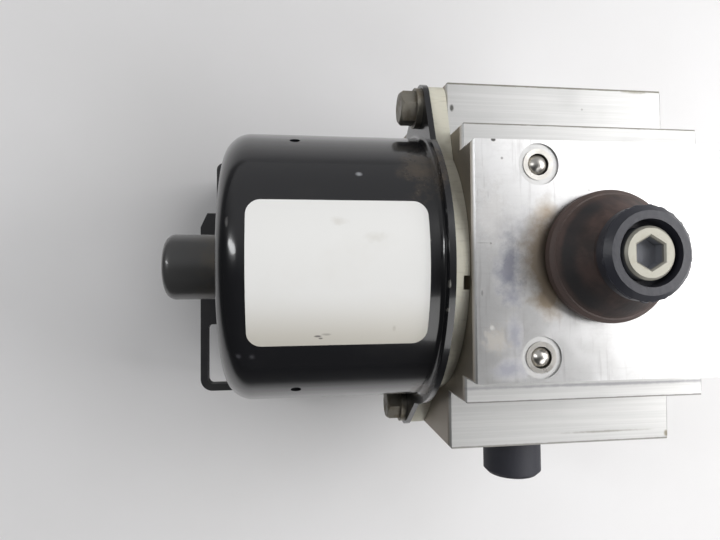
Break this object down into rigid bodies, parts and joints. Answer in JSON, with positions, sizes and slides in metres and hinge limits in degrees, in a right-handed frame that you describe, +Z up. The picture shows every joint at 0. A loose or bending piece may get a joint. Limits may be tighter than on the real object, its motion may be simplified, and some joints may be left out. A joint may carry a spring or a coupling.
{
  "type": "anti-lock brake modulator",
  "caption": "Anti-lock brake modulator: black pump motor on a stepped aluminium hydraulic block with rubber mounts, over a flat valve controller.",
  "frame": {"origin": "on the controller's underside, below the motor axis, in the plane of the block's motor-side face", "axes": "+X along the motor axis from motor to block, +Z up out of the block's crown, +Y to the far side"},
  "size_m": [0.1365, 0.1149, 0.1243],
  "materials": {
    "block_aluminium": "machined top, sawn ends, extrusion lines along the shelves",
    "can_paint": "glossy black paint on drawn steel, brown dust at the boss",
    "nylon": "natural nylon, slightly yellowed",
    "screw_steel": "dull zinc with light rust",
    "stud_steel": "bare steel",
    "label_paper": "blank, slightly yellow at the lower edge",
    "mount_rubber": "brown dusty foot, black collar",
    "case_plastic": "black moulded plastic",
    "plug_steel": "ground steel",
    "inner_steel": "machined steel",
    "copper": "enamelled copper",
    "magnet": "dark ferrite",
    "carbon": "carbon",
    "board": "laminate",
    "coil_plastic": "overmoulded winding",
    "seal_rubber": "gasket",
    "contact_metal": "tinned brass",
    "bronze": "sintered bronze"
  },
  "bodies": {
    "housing": {"hydraulic_block": "block_aluminium", "motor_can": "can_paint", "motor_end_plate": "nylon", "motor_screws": "screw_steel", "can_label": "label_paper", "rear_bush": "bronze", "field_magnets": "magnet", "bearing_outer_race": "inner_steel", "pump_plugs": "plug_steel", "ball_plug_sleeves": "plug_steel", "plug_balls": "plug_steel", "accumulator_caps": "plug_steel", "inlet_valve_bodies": "inner_steel", "outlet_valve_bodies": "inner_steel", "inlet_valve_springs": "inner_steel", "outlet_valve_springs": "inner_steel", "solenoid_coils": "coil_plastic", "motor_contacts": "contact_metal", "controller_case": "case_plastic", "controller_seal": "seal_rubber", "connector_pins": "contact_metal", "board_components": "coil_plastic", "controller_lid": "case_plastic", "circuit_board": "board", "controller_screws": "screw_steel", "top_mount_rubber": "mount_rubber", "top_mount_stud": "stud_steel", "side_mount_rubber": "mount_rubber", "side_mount_stud": "stud_steel", "brush_spring_near": "inner_steel", "pump_spring_near": "inner_steel", "accumulator_spring_near": "inner_steel", "brush_spring_far": "inner_steel", "pump_spring_far": "inner_steel", "accumulator_spring_far": "inner_steel"},
    "rotor": {"rotor_shaft": "inner_steel", "armature_core": "inner_steel", "armature_winding": "copper", "commutator": "copper", "bearing_inner_race": "inner_steel", "bearing_balls": "inner_steel", "eccentric_needles": "inner_steel", "eccentric_ring": "inner_steel"},
    "pump_piston_near": {"pump_piston_near": "inner_steel"},
    "pump_piston_far": {"pump_piston_far": "inner_steel"},
    "accumulator_piston_near": {"accumulator_piston_near": "block_aluminium"},
    "accumulator_piston_far": {"accumulator_piston_far": "block_aluminium"},
    "brush_near": {"brush_near": "carbon"},
    "brush_far": {"brush_far": "carbon"},
    "inlet_plunger_1": {"inlet_plunger_1": "inner_steel"},
    "inlet_plunger_2": {"inlet_plunger_2": "inner_steel"},
    "inlet_plunger_3": {"inlet_plunger_3": "inner_steel"},
    "inlet_plunger_4": {"inlet_plunger_4": "inner_steel"},
    "outlet_plunger_1": {"outlet_plunger_1": "inner_steel"},
    "outlet_plunger_2": {"outlet_plunger_2": "inner_steel"},
    "outlet_plunger_3": {"outlet_plunger_3": "inner_steel"},
    "outlet_plunger_4": {"outlet_plunger_4": "inner_steel"}
  },
  "joints": [
    {"name": "rotor_spin", "type": "hinge", "parent": "housing", "child": "rotor", "pos_m": [0, 0, 0.072], "axis": [1, 0, 0], "continuous": true},
    {"name": "pump_piston_near_slide", "type": "slide", "parent": "housing", "child": "pump_piston_near", "axis": [0, -1, 0], "range_m": [0, 0.002], "stiffness_N_per_m": 800, "springref_m": -0.002, "deforming": ["pump_spring_near"]},
    {"name": "pump_piston_far_slide", "type": "slide", "parent": "housing", "child": "pump_piston_far", "axis": [0, 1, 0], "range_m": [0, 0.002], "stiffness_N_per_m": 800, "springref_m": -0.002, "deforming": ["pump_spring_far"]},
    {"name": "accumulator_piston_near_slide", "type": "slide", "parent": "housing", "child": "accumulator_piston_near", "axis": [0, -1, 0], "range_m": [0, 0.006], "stiffness_N_per_m": 1500, "springref_m": -0.002, "deforming": ["accumulator_spring_near"]},
    {"name": "accumulator_piston_far_slide", "type": "slide", "parent": "housing", "child": "accumulator_piston_far", "axis": [0, 1, 0], "range_m": [0, 0.006], "stiffness_N_per_m": 1500, "springref_m": -0.002, "deforming": ["accumulator_spring_far"]},
    {"name": "brush_near_slide", "type": "slide", "parent": "housing", "child": "brush_near", "axis": [0, -1, 0], "range_m": [0, 0.002], "stiffness_N_per_m": 150, "springref_m": -0.004, "deforming": ["brush_spring_near"]},
    {"name": "brush_far_slide", "type": "slide", "parent": "housing", "child": "brush_far", "axis": [0, 1, 0], "range_m": [0, 0.002], "stiffness_N_per_m": 150, "springref_m": -0.004, "deforming": ["brush_spring_far"]},
    {"name": "inlet_valve_1_lift", "type": "slide", "parent": "housing", "child": "inlet_plunger_1", "axis": [0, 0, 1], "range_m": [0, 0.0004], "stiffness_N_per_m": 1500, "springref_m": -0.001, "deforming": ["inlet_valve_springs"]},
    {"name": "inlet_valve_2_lift", "type": "slide", "parent": "housing", "child": "inlet_plunger_2", "axis": [0, 0, 1], "range_m": [0, 0.0004], "stiffness_N_per_m": 1500, "springref_m": -0.001, "deforming": ["inlet_valve_springs"]},
    {"name": "inlet_valve_3_lift", "type": "slide", "parent": "housing", "child": "inlet_plunger_3", "axis": [0, 0, 1], "range_m": [0, 0.0004], "stiffness_N_per_m": 1500, "springref_m": -0.001, "deforming": ["inlet_valve_springs"]},
    {"name": "inlet_valve_4_lift", "type": "slide", "parent": "housing", "child": "inlet_plunger_4", "axis": [0, 0, 1], "range_m": [0, 0.0004], "stiffness_N_per_m": 1500, "springref_m": -0.001, "deforming": ["inlet_valve_springs"]},
    {"name": "outlet_valve_1_lift", "type": "slide", "parent": "housing", "child": "outlet_plunger_1", "axis": [0, 0, -1], "range_m": [0, 0.0004], "stiffness_N_per_m": 1500, "springref_m": -0.001, "deforming": ["outlet_valve_springs"]},
    {"name": "outlet_valve_2_lift", "type": "slide", "parent": "housing", "child": "outlet_plunger_2", "axis": [0, 0, -1], "range_m": [0, 0.0004], "stiffness_N_per_m": 1500, "springref_m": -0.001, "deforming": ["outlet_valve_springs"]},
    {"name": "outlet_valve_3_lift", "type": "slide", "parent": "housing", "child": "outlet_plunger_3", "axis": [0, 0, -1], "range_m": [0, 0.0004], "stiffness_N_per_m": 1500, "springref_m": -0.001, "deforming": ["outlet_valve_springs"]},
    {"name": "outlet_valve_4_lift", "type": "slide", "parent": "housing", "child": "outlet_plunger_4", "axis": [0, 0, -1], "range_m": [0, 0.0004], "stiffness_N_per_m": 1500, "springref_m": -0.001, "deforming": ["outlet_valve_springs"]}
  ]
}
